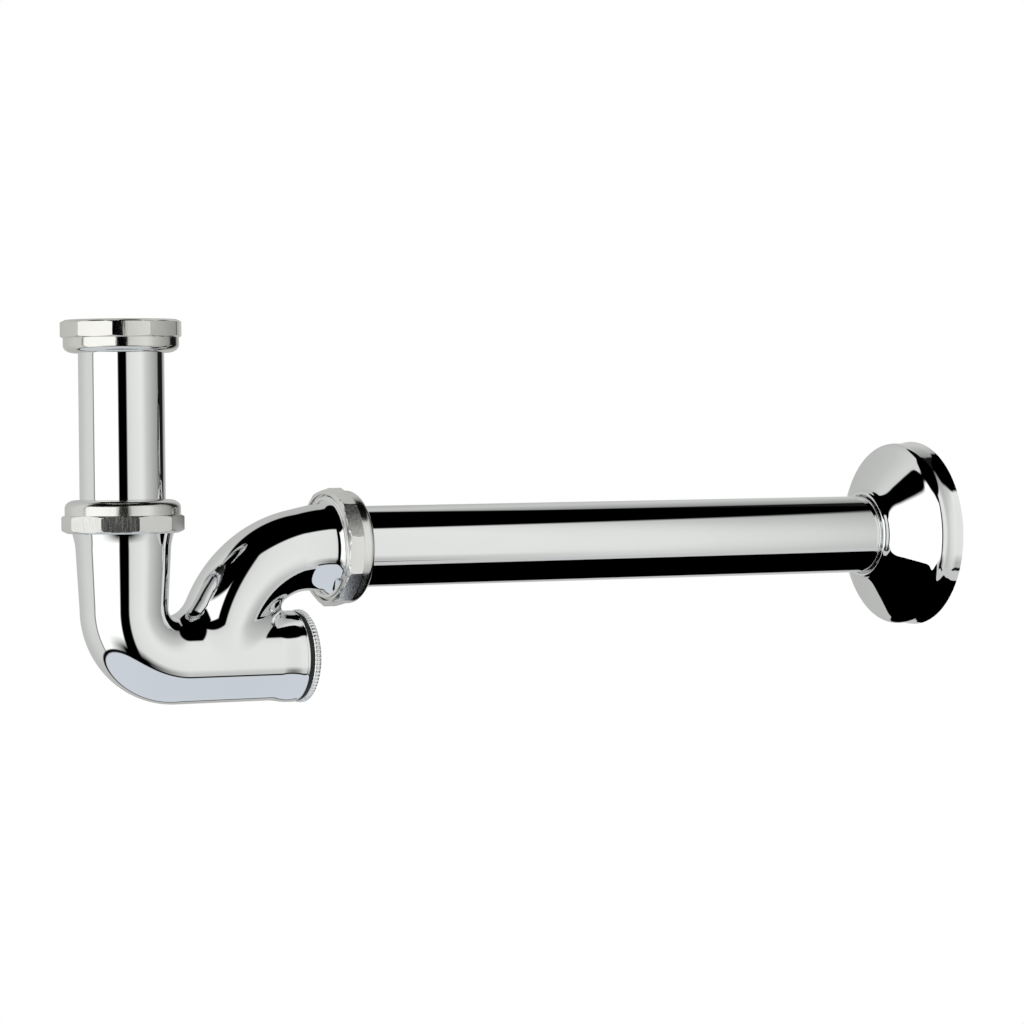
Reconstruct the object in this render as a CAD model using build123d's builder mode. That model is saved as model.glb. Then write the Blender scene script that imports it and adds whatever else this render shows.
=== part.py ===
"""Tubular basin trap in chromed brass.

Inlet tube, U-shaped trap body with a clean-out plug, wall tube and rosette. The origin is the seat of
the basin waste on the inlet gasket, on the inlet axis. +Z is up, +X points to the wall. All sizes are in
millimetres.
"""

import os
from math import asin, cos, degrees, pi, radians, sin

from build123d import *

# Driving dimensions of the tubes
inlet_tube_od = 33.0
wall_tube_od = 32.0
tube_wall = 1.0
inlet_tube_length = 81.0
wall_tube_length = 287.0
flange_step = 3.9
flange_thickness = 1.5

# Driving dimensions of the three union nuts
nut_height = 12.8
nut_sides = 10
nut_corner_step = 1.35
nut_collar_wall = 1.295
nut_collar_height = 3.5
nut_chamfer_height = 2.4
nut_chamfer_inset = 4.2
nut_hole_clearance = 0.4
nut_shoulder = 3.0
nut_relief_depth = 3.5
nut_relief_clearance = 0.3
nut_corner_break = 1.1
thread_step = 4.455
thread_clearance = 0.25
inlet_nut_turn = 17.0
socket_nut_turn = 6.0
outlet_nut_turn = 11.0

# Driving dimensions of the seals
gasket_thickness = 2.0
washer_thickness = 1.2
washer_clearance = 0.35
seal_lip = 1.2
seal_cone = 4.3
seal_lip_step = 1.2
seal_root_step = 2.5
seal_clearance = 0.1
seat_clearance = 0.2
seat_taper = 1.7

# Driving dimensions of the trap body
outlet_drop = 83.0
leg_drop = 42.3
socket_nut_drop = 62.8
body_wall = 1.25
neck_step = 1.8
neck_flare = 4.5
leg_step = 0.5
bend_radius = 20.5
skin_lap = 0.15
inlet_stop = 12.0
leg_end = 70.8
plug_end_step = 0.9
plug_end_length = 3.0
plug_end_swell = 5.0
branch_step = 1.0
branch_bend_radius = 43.0
branch_end = 81.5
outlet_nut_end = 98.4
saddle_fillet = 2.0
socket_clearance = 0.25
wall_tube_stop = 2.5
wall_tube_gap = 0.5

# Driving dimensions of the clean-out plug
plug_thread_step = 1.1
plug_thread_length = 11.0
plug_clearance = 0.2
plug_shank_length = 9.0
plug_bottom = 3.5
plug_wall = 3.0
plug_flange = 2.7
plug_flange_step = 0.3
plug_edge_chamfer = 0.6
knurl_count = 72
knurl_depth = 0.35
coin_slot_width = 3.0
coin_slot_length = 26.0
coin_slot_depth = 1.8
plug_gasket_thickness = 1.9
plug_gasket_step = 0.3

# Driving dimensions of the wall rosette
rosette_front = 337.4
rosette_depth = 25.6
rosette_wall = 0.9
rosette_clearance = 0.25
rosette_lip = 3.2
rosette_lip_radius = 18.9
rosette_cone_depth = 10.6
rosette_shoulder_radius = 38.2
rosette_shoulder_round = 2.6
rosette_waist_radius = 37.8
rosette_rim_radius = 38.7

# Places worked out from the driving dimensions
inlet_tube_radius = inlet_tube_od / 2
wall_tube_radius = wall_tube_od / 2
flange_radius = inlet_tube_radius + flange_step
nut_hole_radius = inlet_tube_radius + nut_hole_clearance
thread_radius = inlet_tube_radius + thread_step
nut_collar_radius = thread_radius + nut_collar_wall
nut_corner_radius = nut_collar_radius + nut_corner_step
nut_flats_start = nut_chamfer_height + nut_collar_height
nut_seat = nut_shoulder + nut_relief_depth
relief_radius = thread_radius + nut_relief_clearance
socket_thread_radius = thread_radius - thread_clearance
washer_radius = relief_radius - washer_clearance
socket_rim = nut_shoulder + washer_thickness + seal_lip
outlet_z = -outlet_drop
leg_z = outlet_z - leg_drop
bend_start_z = leg_z + bend_radius
branch_centre = (branch_end, outlet_z - branch_bend_radius)
branch_lead = degrees(asin((branch_bend_radius - leg_drop) / branch_bend_radius))
bore_radius = inlet_tube_radius + socket_clearance
neck_radius = inlet_tube_radius + neck_step
seal_root_radius = inlet_tube_radius + seal_root_step
seal_lip_radius = seal_root_radius + seal_lip_step
leg_radius = inlet_tube_radius + leg_step
branch_radius = leg_radius - branch_step
plug_end_radius = leg_radius + plug_end_step
plug_thread_radius = leg_radius - plug_thread_step
plug_flange_radius = plug_end_radius + plug_flange_step
plug_gasket_radius = plug_end_radius - plug_gasket_step
outlet_bore_radius = wall_tube_radius + socket_clearance
wall_tube_start = branch_end + wall_tube_stop + wall_tube_gap

# Base planes: each stands at a piece's closed or hidden end and looks along its axis
inlet_nut_plane = Plane.XY.offset(-nut_seat)
socket_nut_plane = Plane((0, 0, -socket_nut_drop), x_dir=(1, 0, 0), z_dir=(0, 0, -1))
outlet_nut_plane = Plane((outlet_nut_end, 0, outlet_z), x_dir=(0, 1, 0), z_dir=(-1, 0, 0))
outlet_plane = Plane((0, 0, outlet_z), x_dir=(0, 1, 0), z_dir=(1, 0, 0))
leg_plane = Plane((0, 0, leg_z), x_dir=(0, 1, 0), z_dir=(1, 0, 0))
elbow_axis = Axis((bend_radius, 0, bend_start_z), (0, -1, 0))
branch_axis = Axis((branch_end, 0, branch_centre[1]), (0, 1, 0))
branch_plane = Plane(
    (branch_end - branch_bend_radius * cos(radians(branch_lead)), 0, leg_z),
    x_dir=(0, 1, 0),
    z_dir=(sin(radians(branch_lead)), 0, cos(radians(branch_lead))),
)


def section_of(base: Plane) -> Plane:
    """Plane through a base plane's axis: local x is the radius and local y the height along the axis."""
    return Plane(base.origin, x_dir=base.x_dir, z_dir=-base.y_dir)


def axis_of(base: Plane) -> Axis:
    """Turning axis that stands on a base plane."""
    return Axis(base.origin, base.z_dir)


def make_nut(base: Plane, turn: float, label: str) -> Part:
    """Union nut with ten flats and a turned collar; base is its closed end, its mouth looks along the axis."""
    flat_radius = nut_corner_radius * cos(pi / nut_sides)
    with BuildPart() as nut:
        with BuildSketch(base.offset(nut_flats_start)):
            RegularPolygon(nut_corner_radius, nut_sides, rotation=turn)
        extrude(amount=nut_height - nut_flats_start)
        # A turned chamfer takes the corners off both ends of the flats
        with BuildSketch(section_of(base)):
            with BuildLine():
                Polyline(
                    (0, nut_flats_start),
                    (flat_radius, nut_flats_start),
                    (nut_corner_radius, nut_flats_start + nut_corner_break / 2),
                    (nut_corner_radius, nut_height - nut_corner_break),
                    (flat_radius - nut_corner_break, nut_height),
                    (0, nut_height),
                    close=True,
                )
            make_face()
        revolve(axis=axis_of(base), mode=Mode.INTERSECT)
        # Collar with its chamfered end
        with BuildSketch(section_of(base)):
            with BuildLine():
                Polyline(
                    (0, 0),
                    (nut_collar_radius - nut_chamfer_inset, 0),
                    (nut_collar_radius, nut_chamfer_height),
                    (nut_collar_radius, nut_flats_start),
                    (0, nut_flats_start),
                    close=True,
                )
            make_face()
        revolve(axis=axis_of(base))
        # Tube hole, thread relief and thread bore
        with BuildSketch(base):
            Circle(nut_hole_radius)
        extrude(amount=nut_height, mode=Mode.SUBTRACT)
        with BuildSketch(base.offset(nut_shoulder)):
            Circle(relief_radius)
        extrude(amount=nut_relief_depth, mode=Mode.SUBTRACT)
        with BuildSketch(base.offset(nut_seat)):
            Circle(thread_radius)
        extrude(amount=nut_height - nut_seat, mode=Mode.SUBTRACT)
    nut.part.label = label
    return nut.part


def make_washer(base: Plane, tube_radius: float, label: str) -> Part:
    """Slip washer that lies on a union nut's shoulder; base is the nut's closed end."""
    with BuildPart() as washer:
        with BuildSketch(base.offset(nut_shoulder)):
            Circle(washer_radius)
            Circle(tube_radius + socket_clearance, mode=Mode.SUBTRACT)
        extrude(amount=washer_thickness)
    washer.part.label = label
    return washer.part


def make_seal(base: Plane, tube_radius: float, label: str) -> Part:
    """Rubber cone seal between the slip washer and the socket's seat; base is the nut's closed end."""
    head = nut_shoulder + washer_thickness
    inner = tube_radius + seal_clearance
    with BuildPart() as seal:
        with BuildSketch(section_of(base)):
            with BuildLine():
                Polyline(
                    (inner, head),
                    (seal_lip_radius, head),
                    (seal_lip_radius, head + seal_lip),
                    (seal_root_radius, head + seal_lip),
                    (seal_root_radius - seat_taper, head + seal_lip + seal_cone),
                    (inner, head + seal_lip + seal_cone),
                    close=True,
                )
            make_face()
        revolve(axis=axis_of(base))
    seal.part.label = label
    return seal.part


# Inlet gasket: flat rubber ring on the tube's flange
with BuildPart() as inlet_gasket:
    with BuildSketch(Plane.XY.offset(-gasket_thickness)):
        Circle(flange_radius)
        Circle(inlet_tube_radius - tube_wall, mode=Mode.SUBTRACT)
    extrude(amount=gasket_thickness)
inlet_gasket.part.label = "inlet_gasket"

# Inlet tube with the flange that its nut pulls up
with BuildPart() as inlet_tube:
    with BuildSketch(Plane.XY.offset(-gasket_thickness - flange_thickness)):
        Circle(flange_radius)
    extrude(amount=flange_thickness)
    with BuildSketch(Plane.XY.offset(-gasket_thickness)):
        Circle(inlet_tube_radius)
    extrude(amount=-inlet_tube_length)
    with BuildSketch(Plane.XY.offset(-gasket_thickness)):
        Circle(inlet_tube_radius - tube_wall)
    extrude(amount=-inlet_tube_length, mode=Mode.SUBTRACT)
    lower_rim = inlet_tube.edges().filter_by(GeomType.CIRCLE).group_by(Axis.Z)[0]
    chamfer(lower_rim.sort_by(SortBy.RADIUS)[-1], length=tube_wall / 3)
inlet_tube.part.label = "inlet_tube"

# Trap body: outer form first, then the waterway
rim_z = -socket_nut_drop - socket_rim
neck_z = -socket_nut_drop - nut_height
outlet_rim = outlet_nut_end - socket_rim
outlet_neck = outlet_nut_end - nut_height
with BuildPart() as trap_body:
    # Inlet socket, flared neck and tapered vertical leg
    with BuildSketch(Plane.XZ):
        with BuildLine():
            Polyline(
                (neck_radius, neck_z - neck_flare),
                (leg_radius, bend_start_z),
                (0, bend_start_z),
                (0, rim_z),
                (socket_thread_radius, rim_z),
                (socket_thread_radius, neck_z),
            )
            SagittaArc(
                (socket_thread_radius, neck_z),
                (neck_radius, neck_z - neck_flare),
                -neck_flare / 6,
            )
        make_face()
    revolve(axis=Axis.Z)
    # Elbow below the vertical leg, then the horizontal leg
    with BuildSketch(Plane.XY.offset(bend_start_z)):
        Circle(leg_radius)
    revolve(axis=elbow_axis, revolution_arc=90)
    with BuildSketch(leg_plane.offset(bend_radius)):
        Circle(leg_radius)
    extrude(amount=leg_end - plug_end_length - bend_radius)
    # Branch that rises to the outlet, blended into the leg
    with BuildSketch(branch_plane):
        Circle(branch_radius)
    revolve(axis=branch_axis, revolution_arc=90 - branch_lead)
    saddle = trap_body.edges(Select.NEW)
    fillet(saddle, radius=saddle_fillet)
    # Swollen end of the leg for the clean-out
    with BuildSketch(section_of(leg_plane)):
        with BuildLine():
            Polyline(
                (leg_radius - skin_lap, leg_end - plug_end_swell),
                (plug_end_radius, leg_end - plug_end_length),
                (plug_end_radius, leg_end),
                (0, leg_end),
                (0, leg_end - plug_end_swell),
                close=True,
            )
        make_face()
    revolve(axis=axis_of(leg_plane))
    # Flared outlet socket
    with BuildSketch(section_of(outlet_plane)):
        with BuildLine():
            Polyline(
                (socket_thread_radius, outlet_neck),
                (socket_thread_radius, outlet_rim),
                (0, outlet_rim),
                (0, branch_end),
                (branch_radius, branch_end),
                close=True,
            )
        make_face()
    revolve(axis=axis_of(outlet_plane))
    # Waterway: elbow, leg and branch
    with BuildSketch(Plane.XY.offset(bend_start_z)):
        Circle(leg_radius - body_wall)
    revolve(axis=elbow_axis, revolution_arc=90, mode=Mode.SUBTRACT)
    with BuildSketch(leg_plane.offset(bend_radius)):
        Circle(leg_radius - body_wall)
    extrude(amount=leg_end - bend_radius, mode=Mode.SUBTRACT)
    with BuildSketch(branch_plane):
        Circle(branch_radius - body_wall)
    revolve(axis=branch_axis, revolution_arc=90 - branch_lead, mode=Mode.SUBTRACT)
    # Waterway: seat and bore of the inlet socket
    seat_depth = seal_cone + seat_clearance
    with BuildSketch(Plane.XZ):
        with BuildLine():
            Polyline(
                (0, rim_z),
                (seal_root_radius + seat_clearance, rim_z),
                (seal_root_radius + seat_clearance - seat_taper, rim_z - seat_depth),
                (bore_radius, rim_z - seat_depth),
                (bore_radius, bend_start_z + inlet_stop),
                (leg_radius - body_wall, bend_start_z),
                (0, bend_start_z),
                close=True,
            )
        make_face()
    revolve(axis=Axis.Z, mode=Mode.SUBTRACT)
    # Waterway: thread of the clean-out
    with BuildSketch(leg_plane.offset(leg_end)):
        Circle(plug_thread_radius)
    extrude(amount=-plug_thread_length, mode=Mode.SUBTRACT)
    # Waterway: stop, bore and seat of the outlet socket
    with BuildSketch(section_of(outlet_plane)):
        with BuildLine():
            Polyline(
                (0, branch_end),
                (branch_radius - body_wall, branch_end),
                (branch_radius - body_wall, branch_end + wall_tube_stop),
                (outlet_bore_radius, branch_end + wall_tube_stop),
                (outlet_bore_radius, outlet_rim - seat_depth),
                (seal_root_radius + seat_clearance - seat_taper, outlet_rim - seat_depth),
                (seal_root_radius + seat_clearance, outlet_rim),
                (0, outlet_rim),
                close=True,
            )
        make_face()
    revolve(axis=axis_of(outlet_plane), mode=Mode.SUBTRACT)
trap_body.part.label = "trap_body"

# Clean-out plug: knurled flange with a coin slot on a hollow threaded shank
plug_seat = leg_end + plug_gasket_thickness
with BuildPart() as cleanout_plug:
    with BuildSketch(leg_plane.offset(plug_seat)):
        Circle(plug_flange_radius)
        with PolarLocations(plug_flange_radius, knurl_count):
            Rectangle(2 * knurl_depth, 2 * knurl_depth, rotation=45, mode=Mode.SUBTRACT)
    extrude(amount=plug_flange)
    with BuildSketch(section_of(leg_plane)):
        with BuildLine():
            Polyline(
                (0, plug_seat),
                (plug_flange_radius - plug_edge_chamfer, plug_seat),
                (plug_flange_radius, plug_seat + plug_edge_chamfer),
                (plug_flange_radius, plug_seat + plug_flange - plug_edge_chamfer),
                (plug_flange_radius - plug_edge_chamfer, plug_seat + plug_flange),
                (0, plug_seat + plug_flange),
                close=True,
            )
        make_face()
    revolve(axis=axis_of(leg_plane), mode=Mode.INTERSECT)
    with BuildSketch(leg_plane.offset(plug_seat)):
        Circle(plug_thread_radius - plug_clearance)
    extrude(amount=-plug_shank_length)
    with BuildSketch(leg_plane.offset(plug_seat - plug_shank_length)):
        Circle(plug_thread_radius - plug_clearance - plug_wall)
    extrude(amount=plug_shank_length + plug_flange - plug_bottom, mode=Mode.SUBTRACT)
    with BuildSketch(leg_plane.offset(plug_seat + plug_flange)):
        SlotOverall(coin_slot_length, coin_slot_width)
    extrude(amount=-coin_slot_depth, mode=Mode.SUBTRACT)
cleanout_plug.part.label = "cleanout_plug"

# Rubber ring between the plug's flange and the end of the leg
with BuildPart() as plug_gasket:
    with BuildSketch(leg_plane.offset(leg_end)):
        Circle(plug_gasket_radius)
        Circle(plug_thread_radius, mode=Mode.SUBTRACT)
    extrude(amount=plug_gasket_thickness)
    outer_rims = plug_gasket.edges().filter_by(GeomType.CIRCLE).group_by(SortBy.RADIUS)[-1]
    fillet(outer_rims, radius=plug_gasket_thickness / 4)
plug_gasket.part.label = "plug_gasket"

# Wall tube
with BuildPart() as wall_tube:
    with BuildSketch(outlet_plane.offset(wall_tube_start)):
        Circle(wall_tube_radius)
        Circle(wall_tube_radius - tube_wall, mode=Mode.SUBTRACT)
    extrude(amount=wall_tube_length)
    tube_rims = wall_tube.edges().filter_by(GeomType.CIRCLE).group_by(SortBy.RADIUS)[-1]
    chamfer(tube_rims, length=tube_wall / 3)
wall_tube.part.label = "wall_tube"

# Wall rosette: pressed sheet with a lip round the tube, a cone, a round shoulder and a flared rim
lip_inner = wall_tube_radius + rosette_clearance
cone_start = rosette_front + rosette_lip
shoulder_z = cone_start + rosette_cone_depth
rosette_back = rosette_front + rosette_depth
shoulder_inner = rosette_shoulder_radius - rosette_wall
with BuildPart() as wall_rosette:
    with BuildSketch(section_of(outlet_plane)):
        with BuildLine():
            outer_lip = ThreePointArc(
                (lip_inner, rosette_front),
                (lip_inner + rosette_lip / 2, rosette_front + rosette_lip / 4),
                (rosette_lip_radius, cone_start),
            )
            outer_cone = SagittaArc(
                outer_lip @ 1,
                (rosette_shoulder_radius - rosette_shoulder_round, shoulder_z),
                -rosette_wall,
            )
            outer_shoulder = TangentArc(
                outer_cone @ 1,
                (rosette_shoulder_radius, shoulder_z + rosette_shoulder_round),
                tangent=outer_cone % 1,
            )
            waist_z = (shoulder_z + rosette_shoulder_round + rosette_back) / 2
            outer_band = Spline(
                outer_shoulder @ 1,
                (rosette_waist_radius, waist_z),
                (rosette_rim_radius, rosette_back),
            )
            inner_band = Line(outer_band @ 1, (rosette_rim_radius - rosette_wall, rosette_back))
            Polyline(
                inner_band @ 1,
                (rosette_waist_radius - rosette_wall, waist_z),
                (shoulder_inner, shoulder_z + rosette_shoulder_round),
                (shoulder_inner - rosette_shoulder_round, shoulder_z + rosette_wall),
                (rosette_lip_radius - rosette_wall, cone_start + rosette_wall),
                (lip_inner, rosette_front + rosette_lip / 2),
                (lip_inner, rosette_front),
            )
        make_face()
    revolve(axis=axis_of(outlet_plane))
wall_rosette.part.label = "wall_rosette"

pieces = [
    make_nut(inlet_nut_plane, inlet_nut_turn, "inlet_nut"),
    inlet_gasket.part,
    inlet_tube.part,
    make_nut(socket_nut_plane, socket_nut_turn, "socket_nut"),
    make_washer(socket_nut_plane, inlet_tube_radius, "socket_slip_washer"),
    make_seal(socket_nut_plane, inlet_tube_radius, "socket_seal"),
    trap_body.part,
    cleanout_plug.part,
    plug_gasket.part,
    make_nut(outlet_nut_plane, outlet_nut_turn, "outlet_nut"),
    make_washer(outlet_nut_plane, wall_tube_radius, "outlet_slip_washer"),
    make_seal(outlet_nut_plane, wall_tube_radius, "outlet_seal"),
    wall_tube.part,
    wall_rosette.part,
]
os.makedirs("parts", exist_ok=True)
for piece in pieces:
    export_step(piece, f"parts/{piece.label}.step")
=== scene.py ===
import logging
from dataclasses import dataclass, field, replace
from enum import Enum
from typing import Callable, Sequence

import bmesh
import bpy
import numpy as np
from mathutils import Matrix


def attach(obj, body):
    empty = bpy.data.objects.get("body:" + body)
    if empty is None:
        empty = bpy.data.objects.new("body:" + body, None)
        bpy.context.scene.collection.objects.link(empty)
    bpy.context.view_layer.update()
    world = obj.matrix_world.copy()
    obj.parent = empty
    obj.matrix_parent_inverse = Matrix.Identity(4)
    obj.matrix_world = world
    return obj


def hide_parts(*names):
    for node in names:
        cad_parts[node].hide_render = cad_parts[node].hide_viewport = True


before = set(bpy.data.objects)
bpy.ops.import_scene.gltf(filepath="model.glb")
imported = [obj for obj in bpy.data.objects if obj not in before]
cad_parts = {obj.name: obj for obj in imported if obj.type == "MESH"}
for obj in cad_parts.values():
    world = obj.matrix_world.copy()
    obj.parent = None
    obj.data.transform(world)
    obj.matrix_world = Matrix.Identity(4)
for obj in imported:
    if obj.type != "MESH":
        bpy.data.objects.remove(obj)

logging.basicConfig(level=logging.INFO, format="%(message)s")
LOG = logging.getLogger("u_trap")

Triple = tuple[float, float, float]
Stops = tuple[tuple[float, float], ...]

MM = 0.001
TURN = 2.0 * np.pi
TINY = 1e-9
FAR = 1e3
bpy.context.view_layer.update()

WHITE = (1.0, 1.0, 1.0, 1.0)
BLACK = (0.0, 0.0, 0.0, 1.0)

# Noise of the finishes.
DRIFT_DETAIL = 4.0
DRIFT_SPAN = (0.3, 0.7)
FINE_DETAIL = 3.0
EVEN_GRAIN = (1.0, 1.0, 1.0)
BRUSHED_GRAIN = (1.0, 1.0, 0.12)
BUMP_DISTANCE = 0.0002

# Edges sharper than these angles stay crisp; at the last one every edge is smooth.
PIECE_SHARP_DEG = 32.0
NODE_SHARP_DEG = 28.0
ALL_SMOOTH_DEG = 180.0
MERGE_DISTANCE = 1e-6
CORNER_SHARE = 0.45

# Thread ridges: points for each turn, depth under the root, half widths as shares of the pitch.
THREAD_STEPS = 96
THREAD_SINK = 0.12
RIDGE_FOOT = 0.22
RIDGE_TOP = 0.05
UNION_PITCH = 2.309

# Places of the colour mix node's sockets, which share their names with hidden ones.
MIX_FACTOR = 0
MIX_FIRST = 6
MIX_SECOND = 7
MIX_RESULT = 2


class Grain(Enum):
    """How a finish is broken up."""

    POLISHED = "polished"
    MACHINED = "machined"
    MOULDED = "moulded"
    BARE = "bare"


@dataclass(frozen=True)
class Finish:
    """One surface finish, turned into a node material.

    The colour drifts between two values along a soft noise. A fine noise moves the roughness between
    its two values and gives the bump, which a polished finish goes without.
    """

    name: str
    slot: str
    grain: Grain
    colour_low: Triple
    colour_high: Triple
    rough_low: float
    rough_high: float
    metallic: float
    drift_scale: float
    bump_scale: float
    bump_strength: float

    def material(self) -> bpy.types.Material:
        """Makes the node material once and then hands out the same one.

        Returns:
            The finish's material.
        """
        found = bpy.data.materials.get(self.name)
        if found is not None:
            return found
        mat = bpy.data.materials.new(self.name)
        mat.use_nodes = True
        tree = mat.node_tree
        shader = tree.nodes["Principled BSDF"]
        shader.inputs["Metallic"].default_value = self.metallic
        place = tree.nodes.new("ShaderNodeTexCoord")
        drift = tree.nodes.new("ShaderNodeTexNoise")
        drift.inputs["Scale"].default_value = self.drift_scale
        drift.inputs["Detail"].default_value = DRIFT_DETAIL
        tree.links.new(place.outputs["Object"], drift.inputs["Vector"])
        ramp = tree.nodes.new("ShaderNodeValToRGB")
        ramp.color_ramp.elements[0].position = DRIFT_SPAN[0]
        ramp.color_ramp.elements[1].position = DRIFT_SPAN[1]
        ramp.color_ramp.elements[0].color = (*self.colour_low, 1.0)
        ramp.color_ramp.elements[1].color = (*self.colour_high, 1.0)
        tree.links.new(drift.outputs["Fac"], ramp.inputs["Fac"])
        tree.links.new(ramp.outputs["Color"], shader.inputs["Base Color"])
        rough = tree.nodes.new("ShaderNodeMapRange")
        rough.inputs["To Min"].default_value = self.rough_low
        rough.inputs["To Max"].default_value = self.rough_high
        fine = tree.nodes.new("ShaderNodeTexNoise")
        fine.inputs["Scale"].default_value = self.bump_scale
        fine.inputs["Detail"].default_value = FINE_DETAIL
        stretch = tree.nodes.new("ShaderNodeMapping")
        brushed = self.grain is Grain.MACHINED
        stretch.inputs["Scale"].default_value = BRUSHED_GRAIN if brushed else EVEN_GRAIN
        tree.links.new(place.outputs["Object"], stretch.inputs["Vector"])
        tree.links.new(stretch.outputs["Vector"], fine.inputs["Vector"])
        tree.links.new(fine.outputs["Fac"], rough.inputs["Value"])
        tree.links.new(rough.outputs["Result"], shader.inputs["Roughness"])
        if self.grain is not Grain.POLISHED:
            bump = tree.nodes.new("ShaderNodeBump")
            bump.inputs["Strength"].default_value = self.bump_strength
            bump.inputs["Distance"].default_value = BUMP_DISTANCE
            tree.links.new(fine.outputs["Fac"], bump.inputs["Height"])
            tree.links.new(bump.outputs["Normal"], shader.inputs["Normal"])
        return mat


CHROME = Finish(
    "polished_chrome", "chrome_plate", Grain.POLISHED,
    colour_low=(0.88, 0.885, 0.89), colour_high=(0.93, 0.935, 0.94),
    rough_low=0.008, rough_high=0.02, metallic=1.0,
    drift_scale=14.0, bump_scale=600.0, bump_strength=0.0,
)
NUT_PLATE = Finish(
    "plated_nut", "nut_plate", Grain.MACHINED,
    colour_low=(0.78, 0.765, 0.735), colour_high=(0.87, 0.86, 0.835),
    rough_low=0.03, rough_high=0.13, metallic=1.0,
    drift_scale=60.0, bump_scale=1400.0, bump_strength=0.08,
)
SATIN_NUT = replace(
    NUT_PLATE, name="satin_nut",
    colour_low=(0.78, 0.77, 0.75), colour_high=(0.87, 0.865, 0.85),
    rough_low=0.1, rough_high=0.24,
)
BARE_BRASS = Finish(
    "unplated_bore", "chrome_plate", Grain.BARE,
    colour_low=(0.60, 0.50, 0.33), colour_high=(0.74, 0.64, 0.45),
    rough_low=0.25, rough_high=0.45, metallic=1.0,
    drift_scale=40.0, bump_scale=500.0, bump_strength=0.15,
)
RUBBER = Finish(
    "black_rubber", "rubber", Grain.MOULDED,
    colour_low=(0.012, 0.012, 0.012), colour_high=(0.03, 0.03, 0.03),
    rough_low=0.5, rough_high=0.75, metallic=0.0,
    drift_scale=120.0, bump_scale=900.0, bump_strength=0.25,
)
SLIP = Finish(
    "slip_plastic", "slip_plastic", Grain.MOULDED,
    colour_low=(0.78, 0.78, 0.75), colour_high=(0.86, 0.86, 0.83),
    rough_low=0.35, rough_high=0.5, metallic=0.0,
    drift_scale=80.0, bump_scale=700.0, bump_strength=0.08,
)


@dataclass(frozen=True)
class Spindle:
    """A turning axis in the part's frame: a foot in millimetres, its way and its zero angle's way."""

    foot: Triple
    along: Triple
    side: Triple

    def place(self, radius: np.ndarray, height: np.ndarray, angle: np.ndarray) -> np.ndarray:
        """Point = foot + height times along + radius times (cos angle times side + sin angle times cross).

        Cross is the cross product of along and side.

        Args:
            radius: Distances from the axis in millimetres.
            height: Distances along the axis in millimetres.
            angle: Angles about the axis in radians.

        Returns:
            An array of points in metres with three columns.
        """
        along = np.array(self.along, dtype=float)
        side = np.array(self.side, dtype=float)
        cross = np.cross(along, side)
        points = (
            np.array(self.foot, dtype=float)
            + height[..., None] * along
            + (radius * np.cos(angle))[..., None] * side
            + (radius * np.sin(angle))[..., None] * cross
        )
        return points.reshape(-1, 3) * MM


def ring_faces(rows: int, columns: int, close_rows: bool = True) -> np.ndarray:
    """Quads of a grid that is closed across its columns, and across its rows if asked.

    Args:
        rows: Points round the section.
        columns: Points round the axis.
        close_rows: True if the section is a closed loop.

    Returns:
        An integer array with four columns.
    """
    strips = rows if close_rows else rows - 1
    i, j = np.meshgrid(np.arange(strips), np.arange(columns), indexing="ij")
    i, j = i.ravel(), j.ravel()
    i2, j2 = (i + 1) % rows, (j + 1) % columns
    corners = [i * columns + j, i * columns + j2, i2 * columns + j2, i2 * columns + j]
    return np.stack(corners, axis=1)


def soften(corners: Sequence[tuple[float, float]], radius: float, steps: int = 4) -> np.ndarray:
    """Rounds every corner of a closed outline.

    Each corner P is swapped for the curve (1-t)^2 A + 2t(1-t) P + t^2 B, where A and B lie on the two
    edges at P, no more than the radius and no more than 0.45 of the edge away from it.

    Args:
        corners: The outline's corners as (radius, height) in millimetres.
        radius: How far from a corner its rounding starts.
        steps: Points on each rounded corner.

    Returns:
        The outline as an array with two columns.
    """
    p = np.array(corners, dtype=float)
    ends = []
    for shift in (1, -1):
        edge = np.roll(p, shift, axis=0) - p
        length = np.maximum(np.linalg.norm(edge, axis=1), TINY)
        ends.append(p + np.minimum(radius / length, CORNER_SHARE)[:, None] * edge)
    a, b = ends
    t = np.linspace(0.0, 1.0, steps)[None, :, None]
    curve = (1 - t) ** 2 * a[:, None] + 2 * t * (1 - t) * p[:, None] + t**2 * b[:, None]
    return curve.reshape(-1, 2)


def divide(outline: np.ndarray, parts: int) -> np.ndarray:
    """Cuts each edge of a closed outline into equal parts: point = start + (end - start) k / parts.

    Args:
        outline: The outline as an array with two columns.
        parts: Number of pieces per edge.

    Returns:
        The finer outline.
    """
    step = np.arange(parts)[None, :, None] / parts
    edge = np.roll(outline, -1, axis=0) - outline
    return (outline[:, None] + edge[:, None] * step).reshape(-1, 2)


def link_mesh(name: str, mesh: bpy.types.Mesh) -> bpy.types.Object:
    """Links a new object with the mesh to the scene.

    Args:
        name: Name of the object.
        mesh: Its mesh.

    Returns:
        The new object.
    """
    piece = bpy.data.objects.new(name, mesh)
    bpy.context.scene.collection.objects.link(piece)
    return piece


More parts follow.
